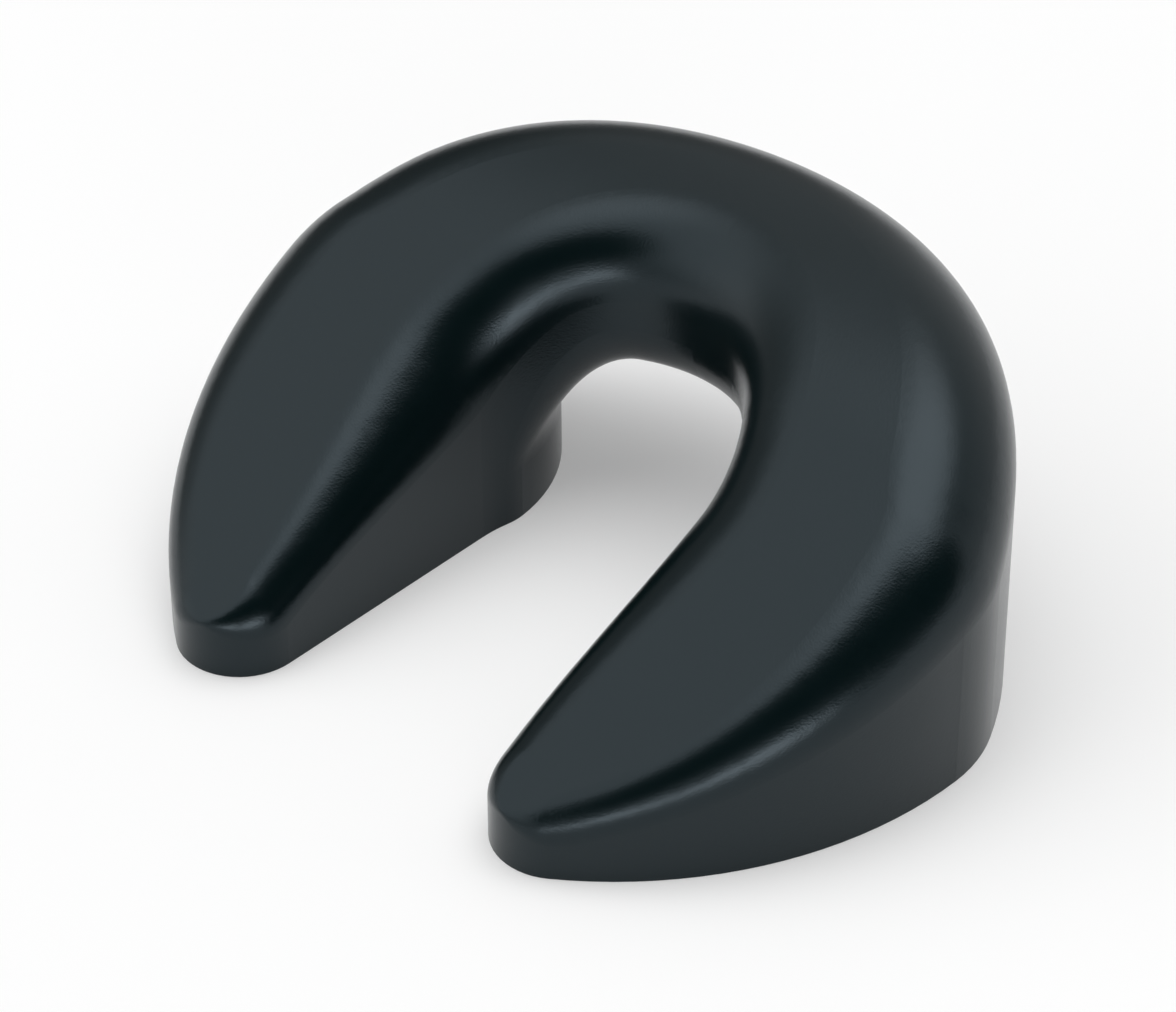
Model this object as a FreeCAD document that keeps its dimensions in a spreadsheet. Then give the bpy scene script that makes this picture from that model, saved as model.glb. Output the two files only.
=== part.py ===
import FreeCAD, Part
import math
import os
import Sketcher

# Through-deck pad eye, machined from one block of aluminium.
# Seen from above it is a horseshoe: a round disc with a slot from the front to the middle.
# Its top climbs from the two toes as a straight ramp and bends over the crown at the back.
# Under the crown an arched eye opens from the slot to the back, so a line can pass through.
# Frame: X across, Y towards the back, Z up. The origin is on the deck, at the disc's centre.

# Driving dimensions, in millimetres and degrees
SIZES = [
    ("disc_radius", 51.5),          # outer edge of the feet, seen from above
    ("slot_half_width", 17.3),      # slot between the feet, and the round end of the slot
    ("slot_end_ahead", 4.1),        # centre of that round end, in front of the disc's centre
    ("toe_radius", 7.7),            # rounding of each toe, seen from above
    ("shoulder_radius", 19.2),      # outer corner between foot and back, seen from above
    ("back_reach", 39.5),           # from the disc's centre to the back of the crown
    ("crown_height", 41.9),         # highest point of the top face above the deck
    ("crown_place", 29.7),          # that point, behind the disc's centre
    ("crown_radius", 50.7),         # bend of the top face over the crown, seen from the side
    ("toe_height", 7.1),            # start of the ramp, over the tip of each toe
    ("toe_edge", 5.3),              # rounding of the top edges at the toes
    ("outer_edge", 10.6),           # rounding of the outer top edge from the disc's centre back
    ("inner_edge", 10.5),           # rounding of the inner top edge round the slot's end
    ("arch_height", 18.5),          # ceiling of the eye above the deck
    ("arch_corner", 11.2),          # rounding between the ceiling and the posts
    ("post_radius", 21.9),          # hollow rear face of each post
    ("post_inset", 0.15),           # how far that face starts inside the slot's wall
    ("inner_mouth", 8.0),           # rounding of the eye's edge towards the slot
    ("outer_mouth", 9.0),           # rounding of the eye's edge at the back
    ("bolt_spacing_across", 68.0),  # tapped holes under the feet, across
    ("bolt_spacing_along", 26.0),   # tapped holes under the feet, front to back
    ("bolt_hole", 6.8),             # core diameter of an M8 thread
    ("bolt_depth", 14.0),           # full depth of each tapped hole
    ("drill_point", 118.0),         # angle of the drill's point
]

CLEAR = 5.0     # how far a cutting tool runs past the metal
NEAR = 0.01     # tolerance for finding an edge by its place

# The tip of the toe in front of the disc's centre, from the toe's circle that touches disc and slot
TOE_TIP = ("Dimensions.toe_radius + sqrt((Dimensions.disc_radius - Dimensions.toe_radius) ^ 2"
           " - (Dimensions.slot_half_width + Dimensions.toe_radius) ^ 2)")

doc = FreeCAD.newDocument("PadEye")
sheet = doc.addObject("Spreadsheet::Sheet", "Dimensions")
for row, (name, value) in enumerate(SIZES, 1):
    sheet.set("A%d" % row, name)
    sheet.set("B%d" % row, str(value))
    sheet.setAlias("B%d" % row, name)
doc.recompute()


def size(name):
    return float(sheet.get(name))


def bind(thing, prop, expression):
    thing.setExpression(prop, expression)


def at(x, y, z=0.0):
    return FreeCAD.Vector(x, y, z)


def toe_centre():
    # The toe's circle touches the slot's wall and the disc from inside
    x = size("slot_half_width") + size("toe_radius")
    return at(x, -math.sqrt((size("disc_radius") - size("toe_radius")) ** 2 - x * x))


def crown_centre():
    # Centre of the top face's bend, seen from the side: x is the way back, y the height
    return at(size("crown_place"), size("crown_height") - size("crown_radius"))


def toe_tip():
    # How far the tip of the toe lies in front of the disc's centre
    return size("toe_radius") - toe_centre().y


def ramp_slope():
    # The ramp starts over the tip of the toe and touches the bend
    centre = crown_centre()
    along, up = centre.x + toe_tip(), centre.y - size("toe_height")
    return math.atan2(up, along) + math.asin(size("crown_radius") / math.hypot(along, up))


def ramp_end():
    # Where the ramp runs into the bend, seen from the side
    slope, radius = ramp_slope(), size("crown_radius")
    return crown_centre() + at(-radius * math.sin(slope), radius * math.cos(slope))


def top_height(y):
    # Height of the top face above the deck: a straight ramp, then the bend
    end, centre = ramp_end(), crown_centre()
    if y <= end.x:
        return end.y + math.tan(ramp_slope()) * (y - end.x)
    return centre.y + math.sqrt(size("crown_radius") ** 2 - (y - centre.x) ** 2)


def back_centre():
    # The back's wide arc touches the shoulder and crosses the middle at back_reach
    shoulder = size("disc_radius") - size("shoulder_radius")
    rise = size("back_reach") - size("shoulder_radius")
    return at(0, (rise * rise - shoulder * shoulder) / (2 * rise))


def add(kind, name, **values):
    thing = doc.addObject(kind, name)
    for key, value in values.items():
        setattr(thing, key, value)
    return thing


def origin_plane(body, role):
    return [f for f in body.Origin.OriginFeatures if f.Role == role][0]


def new_sketch(body, name, role):
    sketch = body.newObject("Sketcher::SketchObject", name)
    sketch.AttachmentSupport = (origin_plane(body, role), [""])
    sketch.MapMode = "FlatFace"
    return sketch


def arc(sketch, centre, radius, start, end):
    circle = Part.Circle(centre, at(0, 0, 1), radius)
    return sketch.addGeometry(Part.ArcOfCircle(circle, start, end), False)


def line(sketch, a, b):
    return sketch.addGeometry(Part.LineSegment(a, b), False)


def constrain(sketch, *args, to=None):
    index = sketch.addConstraint(Sketcher.Constraint(*args))
    if to:
        bind(sketch, "Constraints[%d]" % index, to)
    return index


def solved(sketch):
    doc.recompute()
    if sketch.solve() != 0 or not sketch.FullyConstrained:
        raise RuntimeError("sketch %s is not fully constrained" % sketch.Name)
    return sketch


def points_on(edge, count=7):
    first, last = edge.ParameterRange
    return [edge.valueAt(first + (last - first) * (k + 0.5) / count) for k in range(count)]


def edges_where(shape, test):
    return [k for k, e in enumerate(shape.Edges, 1) if all(test(q) for q in points_on(e))]


def on_slot_wall(q):
    # Straight between the feet, then round about the slot's own centre
    past = max(0, q.y + size("slot_end_ahead"))
    return abs(math.hypot(q.x, past) - size("slot_half_width")) < NEAR


def on_middle(q):
    return abs(q.x) < NEAR


def half_block():
    # Right half of the horseshoe, cut off by its top face
    disc, slot, ahead = size("disc_radius"), size("slot_half_width"), size("slot_end_ahead")
    corner, back = size("shoulder_radius"), back_centre()
    shoulder = at(disc - corner, 0)
    wide = size("back_reach") - back.y
    turn = math.atan2(-back.y, shoulder.x)
    toe, tip = toe_centre(), size("toe_radius")
    touch = math.atan2(toe.y, toe.x)

    body = add("PartDesign::Body", "HalfBlock")
    plan = new_sketch(body, "HalfPlan", "XY_Plane")
    nose = arc(plan, toe, tip, -math.pi, touch)
    foot = arc(plan, at(0, 0), disc, touch, 0)
    side = arc(plan, shoulder, corner, 0, turn)
    rear = arc(plan, back, wide, turn, math.pi / 2)
    middle = line(plan, at(0, size("back_reach")), at(0, slot - ahead))
    bend = arc(plan, at(0, -ahead), slot, 0, math.pi / 2)
    wall = line(plan, at(slot, -ahead), at(slot, toe.y))
    constrain(plan, "Coincident", foot, 3, -1, 1)
    constrain(plan, "PointOnObject", bend, 3, -2)
    constrain(plan, "PointOnObject", foot, 2, -1)
    constrain(plan, "Tangent", foot, 2, side, 1)
    constrain(plan, "Tangent", side, 2, rear, 1)
    constrain(plan, "PointOnObject", rear, 3, -2)
    constrain(plan, "Coincident", rear, 2, middle, 1)
    constrain(plan, "PointOnObject", middle, 1, -2)
    constrain(plan, "Coincident", middle, 2, bend, 2)
    constrain(plan, "PointOnObject", middle, 2, -2)
    constrain(plan, "Tangent", bend, 1, wall, 1)
    constrain(plan, "Vertical", wall)
    constrain(plan, "Tangent", wall, 2, nose, 1)
    constrain(plan, "Tangent", nose, 2, foot, 1)
    constrain(plan, "Radius", nose, tip, to="Dimensions.toe_radius")
    constrain(plan, "Radius", foot, disc, to="Dimensions.disc_radius")
    constrain(plan, "Radius", side, corner, to="Dimensions.shoulder_radius")
    constrain(plan, "Radius", bend, slot, to="Dimensions.slot_half_width")
    constrain(plan, "DistanceY", bend, 3, -1, 1, ahead, to="Dimensions.slot_end_ahead")
    constrain(plan, "DistanceY", -1, 1, rear, 2, size("back_reach"), to="Dimensions.back_reach")
    solved(plan)
    block = body.newObject("PartDesign::Pad", "Block")
    block.Profile = plan
    bind(block, "Length", "Dimensions.crown_height + %g" % CLEAR)

    # The waste above the top face, seen from the side
    front, behind = -disc - CLEAR, size("back_reach") + CLEAR
    slope, radius, lowest = ramp_slope(), size("crown_radius"), size("toe_height")
    centre, crown = crown_centre(), at(size("crown_place"), size("crown_height"))
    low, over = top_height(front), size("crown_height") + 2 * CLEAR
    profile = new_sketch(body, "TopProfile", "YZ_Plane")
    ramp = line(profile, at(front, low), ramp_end())
    bow = arc(profile, centre, radius, math.acos((behind - centre.x) / radius), math.pi / 2 + slope)
    rise = line(profile, at(behind, top_height(behind)), at(behind, over))
    top = line(profile, at(behind, over), at(front, over))
    drop = line(profile, at(front, over), at(front, low))
    peak = line(profile, centre, crown)
    start = line(profile, at(-toe_tip(), 0), at(-toe_tip(), lowest))
    for helper in (peak, start):
        profile.setConstruction(helper, True)
        constrain(profile, "Vertical", helper)
    constrain(profile, "Coincident", peak, 1, bow, 3)
    constrain(profile, "PointOnObject", peak, 2, bow)
    constrain(profile, "PointOnObject", start, 1, -1)
    constrain(profile, "PointOnObject", start, 2, ramp)
    constrain(profile, "Tangent", ramp, 2, bow, 2)
    constrain(profile, "Coincident", bow, 1, rise, 1)
    constrain(profile, "Coincident", rise, 2, top, 1)
    constrain(profile, "Coincident", top, 2, drop, 1)
    constrain(profile, "Coincident", drop, 2, ramp, 1)
    constrain(profile, "Vertical", rise)
    constrain(profile, "Horizontal", top)
    constrain(profile, "Vertical", drop)
    constrain(profile, "DistanceX", start, 1, -1, 1, toe_tip(), to=TOE_TIP)
    constrain(profile, "DistanceY", start, 1, start, 2, lowest, to="Dimensions.toe_height")
    constrain(profile, "Radius", bow, radius, to="Dimensions.crown_radius")
    constrain(profile, "DistanceX", -1, 1, peak, 2, crown.x, to="Dimensions.crown_place")
    constrain(profile, "DistanceY", -1, 1, peak, 2, crown.y, to="Dimensions.crown_height")
    constrain(profile, "DistanceX", ramp, 1, -1, 1, -front, to="Dimensions.disc_radius + %g" % CLEAR)
    constrain(profile, "DistanceX", -1, 1, rise, 2, behind, to="Dimensions.back_reach + %g" % CLEAR)
    constrain(profile, "DistanceY", -1, 1, rise, 2, over,
              to="Dimensions.crown_height + %g" % (2 * CLEAR))
    solved(profile)

    doc.recompute()
    before = body.Shape.Volume
    waste = body.newObject("PartDesign::Pocket", "TopCut")
    waste.Profile = profile
    waste.Type = "ThroughAll"
    waste.Midplane = True
    doc.recompute()
    if body.Shape.Volume > before - 1:
        raise RuntimeError("the top face cuts nothing")
    return body


def rounded_half(block):
    # The top edges are tighter round the toe and grow evenly along the foot to their full rounding
    def on_top_edge(q):
        return abs(q.z - top_height(q.y)) < NEAR and not on_middle(q)

    def radius_at(q):
        start, full_at, full = toe_centre().y, 0, size("outer_edge")
        if on_slot_wall(q):
            full_at, full = -size("slot_end_ahead"), size("inner_edge")
        share = min(1, max(0, (q.y - start) / (full_at - start)))
        return size("toe_edge") + share * (full - size("toe_edge"))

    rows = []
    for index in edges_where(block.Shape, on_top_edge):
        edge = block.Shape.Edges[index - 1]
        first, last = [edge.valueAt(end) for end in edge.ParameterRange]
        rows.append((index, radius_at(first), radius_at(last)))
    top = add("Part::Fillet", "TopEdges", Base=block)
    top.Edges = rows
    return top


def arch_waste():
    # The eye: a flat ceiling, and beside it a post whose hollow rear face starts at the slot's wall
    wall = "sqrt(Dimensions.slot_half_width ^ 2 - Dimensions.slot_end_ahead ^ 2)"
    post = add("Part::Cylinder", "PostFace")
    bind(post, "Radius", "Dimensions.post_radius")
    bind(post, "Height", "Dimensions.arch_height + %g" % (2 * CLEAR))
    bind(post, "Placement.Base.x", "%s - Dimensions.post_inset + Dimensions.post_radius" % wall)
    bind(post, "Placement.Base.z", "-%g" % (2 * CLEAR))
    space = add("Part::Box", "ArchSpace")
    bind(space, "Length", "Dimensions.disc_radius + 2 * Dimensions.post_radius")
    bind(space, "Width", "Dimensions.back_reach + %g" % CLEAR)
    bind(space, "Height", "Dimensions.arch_height + %g" % CLEAR)
    bind(space, "Placement.Base.z", "-%g" % CLEAR)
    bind(space, "Placement.Base.x", "-%g" % CLEAR)
    hollow = add("Part::Cut", "ArchHollow", Base=space, Tool=post)
    doc.recompute()
    ceiling = size("arch_height")

    def at_corner(q):
        away = math.hypot(q.x - post.Placement.Base.x, q.y)
        return abs(q.z - ceiling) < NEAR and abs(away - size("post_radius")) < NEAR

    arch = add("Part::Fillet", "Arch", Base=hollow)
    corner = size("arch_corner")
    arch.Edges = [(k, corner, corner) for k in edges_where(hollow.Shape, at_corner)]
    return arch


def rounded_mouth(name, base, on_wall, radius):
    # Rounds the eye's edge on the wall that it opens through
    doc.recompute()
    roof = size("arch_height") + NEAR

    def on_mouth(q):
        return on_wall(q) and NEAR < q.z < roof and q.y > NEAR and not on_middle(q)

    mouth = add("Part::Fillet", name, Base=base)
    mouth.Edges = [(k, radius, radius) for k in edges_where(base.Shape, on_mouth)]
    return mouth


def on_back_wall(q):
    corner, back = size("shoulder_radius"), back_centre()
    shoulder = size("disc_radius") - corner
    on_side = abs(math.hypot(q.x - shoulder, q.y) - corner) < NEAR
    return on_side or abs(math.hypot(q.x, q.y - back.y) - (size("back_reach") - back.y)) < NEAR


def tapped_hole(name, along):
    # Blind hole for a bolt that comes up through the deck, with the drill's point at its end
    core = add("Part::Cylinder", name + "Core")
    bind(core, "Radius", "Dimensions.bolt_hole / 2")
    bind(core, "Height", "Dimensions.bolt_depth + %g" % CLEAR)
    bind(core, "Placement.Base.z", "-%g" % CLEAR)
    point = add("Part::Cone", name + "Point", Radius2=0)
    bind(point, "Radius1", "Dimensions.bolt_hole / 2")
    bind(point, "Height", "Dimensions.bolt_hole / 2 / tan(Dimensions.drill_point / 2 * 1 deg)")
    bind(point, "Placement.Base.z", "Dimensions.bolt_depth")
    hole = add("Part::MultiFuse", name, Shapes=[core, point])
    bind(hole, "Placement.Base.x", "Dimensions.bolt_spacing_across / 2")
    bind(hole, "Placement.Base.y", "%g * Dimensions.bolt_spacing_along / 2" % along)
    return hole


def check(things):
    for thing in things:
        if "Invalid" in thing.State or "Error" in thing.State:
            raise RuntimeError("%s failed: %s" % (thing.Name, thing.State))


# The right half is made first, then mirrored
half = half_block()
top = rounded_half(half)
opened = add("Part::Cut", "OpenHalf", Base=top, Tool=arch_waste())
inner = rounded_mouth("InnerMouth", opened, on_slot_wall, size("inner_mouth"))
outer = rounded_mouth("OuterMouth", inner, on_back_wall, size("outer_mouth"))
pair = [tapped_hole("FrontHole", -1), tapped_hole("RearHole", 1)]
holes = add("Part::MultiFuse", "TappedHoles", Shapes=pair)
right = add("Part::Cut", "RightHalf", Base=outer, Tool=holes)
left = add("Part::Mirroring", "LeftHalf", Source=right, Normal=at(1, 0))
eye = add("Part::Fuse", "PadEye", Base=right, Tool=left, Refine=True)
eye.Label = "pad_eye"
doc.recompute()
check(doc.Objects)
if eye.Shape.isNull() or not eye.Shape.isValid() or len(eye.Shape.Solids) != 1:
    raise RuntimeError("pad_eye is not one valid solid")
os.makedirs("parts", exist_ok=True)
eye.Shape.exportStep("parts/%s.step" % eye.Label)
box = eye.Shape.BoundBox
lengths = (box.XLength, box.YLength, box.ZLength)
print("pad_eye %.1f x %.1f x %.1f mm, %.1f cm3" % (lengths + (eye.Shape.Volume / 1000,)))
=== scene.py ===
import math

import bpy
from mathutils import Matrix, Vector


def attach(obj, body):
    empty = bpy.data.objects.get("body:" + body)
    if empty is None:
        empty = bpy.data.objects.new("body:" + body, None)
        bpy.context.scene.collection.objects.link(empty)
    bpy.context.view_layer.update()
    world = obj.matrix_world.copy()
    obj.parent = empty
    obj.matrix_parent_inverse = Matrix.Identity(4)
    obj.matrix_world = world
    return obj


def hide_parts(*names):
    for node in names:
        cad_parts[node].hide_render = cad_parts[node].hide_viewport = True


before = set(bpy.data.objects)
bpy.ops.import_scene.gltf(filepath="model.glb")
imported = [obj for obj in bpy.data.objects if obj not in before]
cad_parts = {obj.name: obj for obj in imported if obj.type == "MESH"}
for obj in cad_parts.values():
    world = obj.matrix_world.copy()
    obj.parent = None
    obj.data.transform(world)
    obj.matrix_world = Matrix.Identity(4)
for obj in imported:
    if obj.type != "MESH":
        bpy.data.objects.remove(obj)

MM = 0.001
WHITE = (1, 1, 1, 1)

# The photograph's frame, and the camera that gives its view
FRAME_WIDTH = 1176
SENSOR_WIDTH = 36.0
FOCAL_PIXELS = 4614.9
CAMERA_AZIMUTH = math.radians(43.27)
CAMERA_DOWN = math.radians(37.79)
CAMERA_ROLL = math.radians(-0.30)
CAMERA_DISTANCE = 550 * MM
TARGET = Vector((-12.29 * MM, 8.61 * MM, 0))
CLIP_START = 0.01
CLIP_END = 100

# Light, in strengths where 1 is white. A patch is its turn from the camera's side, where plus is
# to the right, its rise above the deck, where it starts to fade and where it ends, all in degrees,
# and its strength
TENT_LEVEL = 0.72
LAMPS = (
    (110, 84, 5, 38, 2.25),
    (-90, 38, 10, 50, 0.75),
)
LOW_LAMPS = (
    (-15, -5, 10, 20, 4.6),
    (15, -3, 10, 22, 4.6),
)
OPENINGS = (
    (-25, 40, 15, 27, 1.0),
    (4, 47, 17, 29, 1.0),
    (35, 37, 17, 28, 1.0),
    (58, 26, 15, 28, 1.0),
)
DARK_SIDES = (
    (188, 4, 12, 34, 0.65),
    (-142, 18, 12, 36, 0.7),
)

# The floor, just under the object, and the strength it gains for the camera and reflections
FLOOR_COLOUR = (0.66, 0.66, 0.66, 1)
FLOOR_LIFT = 0.28
FLOOR_ROUGHNESS = 0.9
FLOOR_SIZE = 8
FLOOR_DROP = 0.05 * MM

# The toes' outline from above and the ramp over them, with the solid's own sizes
DISC_RADIUS = 51.5 * MM
TOE_RADIUS = 7.7 * MM
TOE_PLACE = 25.0 * MM
TOE_HEIGHT = 7.1 * MM
RAMP_RISE = math.tan(math.radians(30.26))

# The middle of the right toe's round end, and the turn at which that end meets the disc
TOE_MIDDLE = Vector((TOE_PLACE, -math.sqrt((DISC_RADIUS - TOE_RADIUS) ** 2 - TOE_PLACE ** 2)))
MEETING_TURN = math.atan2(TOE_MIDDLE.y, TOE_MIDDLE.x)

# Each toe's top edge is crisp at a tip, and its rounding grows from there to its full size
TIP_TURN = math.radians(-101)
TIP_SOFTNESS = 0.8 * MM
TIP_REACH = 9 * MM
EDGE_BAND = 9 * MM
ABOVE_DECK = 0.2 * MM

# A flat's normal is at least so like the ramp's, a wall's rises at most so much, and vertices
# this near each other are at one spot
RAMP_LIKENESS = 0.9995
WALL_LIMIT = 0.02
SAME_SPOT = 0.001 * MM

# Finish of the metal: black anodising over a fine blasted grain
BLACK = (0.0009, 0.0042, 0.0046, 1)
PALER_BLACK = (0.0016, 0.0054, 0.0060, 1)
REFLECTION_TINT = (0.74, 0.89, 1.0, 1)
METAL_IOR = 1.42
ROUGHNESS = (0.20, 0.26)
CLOUD_SIZE = 9 * MM
CLOUD_DETAIL = 3
GRAIN_SIZE = 0.24 * MM
GRAIN_DETAIL = 2
GRAIN_DEPTH = 0.018 * MM


def camera_axes():
    ahead = Vector((-math.sin(CAMERA_AZIMUTH), math.cos(CAMERA_AZIMUTH), 0))
    view = ahead * math.cos(CAMERA_DOWN) - Vector((0, 0, math.sin(CAMERA_DOWN)))
    right = view.cross(Vector((0, 0, 1))).normalized()
    up = right.cross(view)
    turn = Matrix.Rotation(-CAMERA_ROLL, 3, view)
    return view, turn @ right, turn @ up


def add_camera():
    view, right, up = camera_axes()
    data = bpy.data.cameras.new("camera")
    data.sensor_width = SENSOR_WIDTH
    data.lens = FOCAL_PIXELS / FRAME_WIDTH * SENSOR_WIDTH
    data.clip_start = CLIP_START
    data.clip_end = CLIP_END
    camera = bpy.data.objects.new("camera", data)
    rows = Matrix((right, up, -view)).transposed().to_4x4()
    camera.matrix_world = Matrix.Translation(TARGET - view * CAMERA_DISTANCE) @ rows
    bpy.context.scene.collection.objects.link(camera)
    bpy.context.scene.camera = camera


def nodes_of(owner):
    # The nodes and links of a material or a world
    owner.use_nodes = True
    return owner.node_tree.nodes, owner.node_tree.links


def noise(nodes, links, place, size, detail):
    texture = nodes.new("ShaderNodeTexNoise")
    texture.inputs["Scale"].default_value = 1 / size
    texture.inputs["Detail"].default_value = detail
    links.new(place, texture.inputs["Vector"])
    return texture.outputs["Fac"]


def anodised_metal():
    material = bpy.data.materials.new("black_anodised_aluminium")
    nodes, links = nodes_of(material)
    shader = nodes["Principled BSDF"]
    shader.inputs["IOR"].default_value = METAL_IOR
    shader.inputs["Specular Tint"].default_value = REFLECTION_TINT
    place = nodes.new("ShaderNodeTexCoord").outputs["Object"]

    # Broad clouds in the dye and in how closely the surface was blasted
    clouds = noise(nodes, links, place, CLOUD_SIZE, CLOUD_DETAIL)
    dye = nodes.new("ShaderNodeMix")
    dye.data_type = "RGBA"
    dye.inputs["A"].default_value = BLACK
    dye.inputs["B"].default_value = PALER_BLACK
    links.new(clouds, dye.inputs["Factor"])
    links.new(dye.outputs["Result"], shader.inputs["Base Color"])
    sheen = nodes.new("ShaderNodeMapRange")
    sheen.inputs["To Min"].default_value, sheen.inputs["To Max"].default_value = ROUGHNESS
    links.new(clouds, sheen.inputs["Value"])
    links.new(sheen.outputs["Result"], shader.inputs["Roughness"])

    # Fine pits left by the blasting
    grain = nodes.new("ShaderNodeBump")
    grain.inputs["Distance"].default_value = GRAIN_DEPTH
    links.new(noise(nodes, links, place, GRAIN_SIZE, GRAIN_DETAIL), grain.inputs["Height"])
    links.new(grain.outputs["Normal"], shader.inputs["Normal"])
    return material


def toe_edge(place):
    # For a place near the right toe: the sharp corner beside it, and how far that is from the tip
    flat = place.xy
    out = flat - TOE_MIDDLE
    turn = math.atan2(out.y, out.x)
    if turn <= MEETING_TURN:
        foot = TOE_MIDDLE + out.normalized() * TOE_RADIUS
        along = TOE_RADIUS * abs(turn - TIP_TURN)
    else:
        foot = flat.normalized() * DISC_RADIUS
        past = math.atan2(flat.y, flat.x) - MEETING_TURN
        along = TOE_RADIUS * (MEETING_TURN - TIP_TURN) + DISC_RADIUS * past
    height = TOE_HEIGHT + (foot.y - TOE_MIDDLE.y + TOE_RADIUS) * RAMP_RISE
    return Vector((foot.x, foot.y, height)), along


def crisp_toes(eye):
    # A copy of the metal whose top edges come to a crisp tip at each toe
    skin = eye.copy()
    skin.data = eye.data.copy()
    skin.name = "pad_eye_metal"
    bpy.context.scene.collection.objects.link(skin)
    mesh = skin.data
    facing = [corner.vector.copy() for corner in mesh.corner_normals]

    # Growth is the share of its distance from the sharp corner that a vertex keeps
    growth = {}
    for vertex in mesh.vertices:
        side = Vector((math.copysign(1, vertex.co.x), 1, 1))
        place = vertex.co * side
        edge, along = toe_edge(place)
        along = math.hypot(along, TIP_SOFTNESS)
        if along < TIP_REACH and place.z >= ABOVE_DECK and (place - edge).xy.length <= EDGE_BAND:
            growth[vertex.index] = 1 - (1 - along / TIP_REACH) ** 2
            vertex.co = edge.lerp(place, growth[vertex.index]) * side
    mesh.update()
    mesh.normals_split_custom_set(tip_facing(mesh, facing, growth))
    return skin


def tip_facing(mesh, facing, growth):
    # Near a tip the rounding faces as its new triangles do, and the flats and walls as before
    spot = {i: tuple(round(v / SAME_SPOT) for v in mesh.vertices[i].co) for i in growth}
    sums = {}
    for face in mesh.polygons:
        if all(i in growth for i in face.vertices):
            for i in face.vertices:
                sums[spot[i]] = sums.get(spot[i], Vector()) + face.normal * face.area
    ramp = Vector((0, -RAMP_RISE, 1)).normalized()
    for loop in mesh.loops:
        i, old = loop.vertex_index, facing[loop.index]
        rounded = old.dot(ramp) < RAMP_LIKENESS and old.z > WALL_LIMIT
        if rounded and i in growth and spot[i] in sums:
            facing[loop.index] = sums[spot[i]].normalized().lerp(old, growth[i]).normalized()
    return facing


def maths(nodes, links, operation, first, second):
    # A maths node between two values, each a number or another node's output
    node = nodes.new("ShaderNodeMath")
    node.operation = operation
    for socket, value in zip(node.inputs, (first, second)):
        if isinstance(value, float):
            socket.default_value = value
        else:
            links.new(value, socket)
    return node.outputs["Value"]


def towards(turn, rise):
    # The direction of a patch in the frame, from its turn and rise
    turn = math.radians(turn) + CAMERA_AZIMUTH - math.pi / 2
    rise = math.radians(rise)
    flat = math.cos(rise)
    return Vector((flat * math.cos(turn), flat * math.sin(turn), math.sin(rise)))


def patch(nodes, links, direction, turn, rise, inner, outer, level):
    # A soft round patch of light or dark in the tent
    dot = nodes.new("ShaderNodeVectorMath")
    dot.operation = "DOT_PRODUCT"
    links.new(direction, dot.inputs[0])
    dot.inputs[1].default_value = towards(turn, rise)
    blend = nodes.new("ShaderNodeMapRange")
    blend.interpolation_type = "SMOOTHSTEP"
    links.new(dot.outputs["Value"], blend.inputs["Value"])
    blend.inputs["From Min"].default_value = math.cos(math.radians(outer))
    blend.inputs["From Max"].default_value = math.cos(math.radians(inner))
    blend.inputs["To Max"].default_value = level
    return blend.outputs["Result"]


def studio():
    # A pale tent with a lamp at its top and a soft one on the left, a long dark opening from the
    # camera to the right, darker sides behind the object and two lamps near the deck before it
    world = bpy.data.worlds.new("studio")
    bpy.context.scene.world = world
    nodes, links = nodes_of(world)
    direction = nodes.new("ShaderNodeTexCoord").outputs["Generated"]
    light = TENT_LEVEL
    for lamp in LAMPS:
        light = maths(nodes, links, "ADD", light, patch(nodes, links, direction, *lamp))
    for dark in OPENINGS + DARK_SIDES:
        kept = maths(nodes, links, "SUBTRACT", 1.0, patch(nodes, links, direction, *dark))
        light = maths(nodes, links, "MULTIPLY", light, kept)
    for lamp in LOW_LAMPS:
        light = maths(nodes, links, "ADD", light, patch(nodes, links, direction, *lamp))
    background = nodes["Background"]
    background.inputs["Color"].default_value = WHITE
    links.new(light, background.inputs["Strength"])


def floor():
    # A pale floor that the camera and reflections see near white, and that keeps the shadow
    bpy.ops.mesh.primitive_plane_add(size=FLOOR_SIZE, location=(0, 0, -FLOOR_DROP))
    plane = bpy.context.object
    plane.name = "floor"
    material = bpy.data.materials.new("pale_floor")
    nodes, links = nodes_of(material)
    shader = nodes["Principled BSDF"]
    shader.inputs["Base Color"].default_value = FLOOR_COLOUR
    shader.inputs["Roughness"].default_value = FLOOR_ROUGHNESS
    shader.inputs["Specular IOR Level"].default_value = 0.0
    shader.inputs["Emission Color"].default_value = WHITE
    path = nodes.new("ShaderNodeLightPath")
    seen = maths(nodes, links, "ADD", path.outputs["Is Camera Ray"], path.outputs["Is Glossy Ray"])
    seen = maths(nodes, links, "ADD", seen, path.outputs["Is Transmission Ray"])
    links.new(maths(nodes, links, "MULTIPLY", seen, FLOOR_LIFT), shader.inputs["Emission Strength"])
    plane.data.materials.append(material)


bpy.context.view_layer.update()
add_camera()
studio()
floor()
metal = anodised_metal()
skin = crisp_toes(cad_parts["pad_eye"])
skin.data.materials.clear()
skin.data.materials.append(metal)
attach(skin, "root")
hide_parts("pad_eye")
bpy.context.scene.view_settings.view_transform = "Standard"
